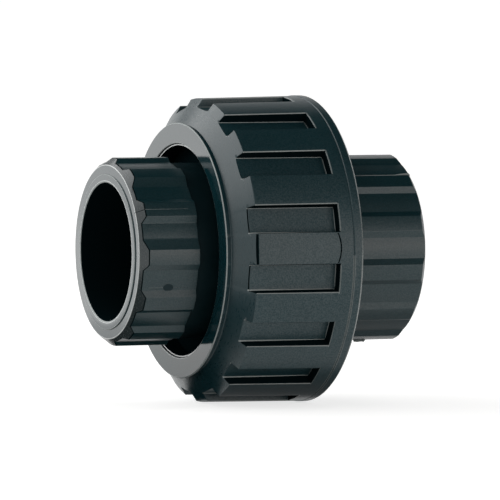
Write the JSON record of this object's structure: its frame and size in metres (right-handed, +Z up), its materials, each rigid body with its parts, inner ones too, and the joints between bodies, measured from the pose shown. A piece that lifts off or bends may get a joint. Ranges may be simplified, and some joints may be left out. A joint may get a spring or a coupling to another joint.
{
  "type": "pipe union",
  "caption": "Cement-socket pipe union: fluted sockets drawn together on an O-ring by a pocketed coupling nut on a coarse thread.",
  "frame": {"origin": "on the pipe axis, midway between the two socket mouths", "axes": "+X along the pipe axis towards the threaded end's mouth, +Z up as in the picture"},
  "size_m": [0.073, 0.0724, 0.0724],
  "materials": {
    "socket_end": "moulded satin PVC-U",
    "threaded_end": "moulded satin PVC-U",
    "union_nut": "moulded satin PVC-U",
    "o_ring": "smooth moulded rubber"
  },
  "bodies": {
    "threaded_end": {"threaded_end": "threaded_end", "o_ring": "o_ring"},
    "socket_end": {"socket_end": "socket_end"},
    "union_nut": {"union_nut": "union_nut"}
  },
  "joints": [
    {"name": "collar_travel", "type": "slide", "parent": "threaded_end", "child": "socket_end", "axis": [-1, 0, 0], "range_m": [0, 0.0201]},
    {"name": "nut_turn", "type": "hinge", "parent": "socket_end", "child": "union_nut", "pos_m": [0, 0, 0], "axis": [-1, 0, 0], "range_deg": [0, 1800]}
  ],
  "couplings": [
    {"joint": "collar_travel", "follows": "nut_turn", "m_per_rad": 0.00063662}
  ]
}
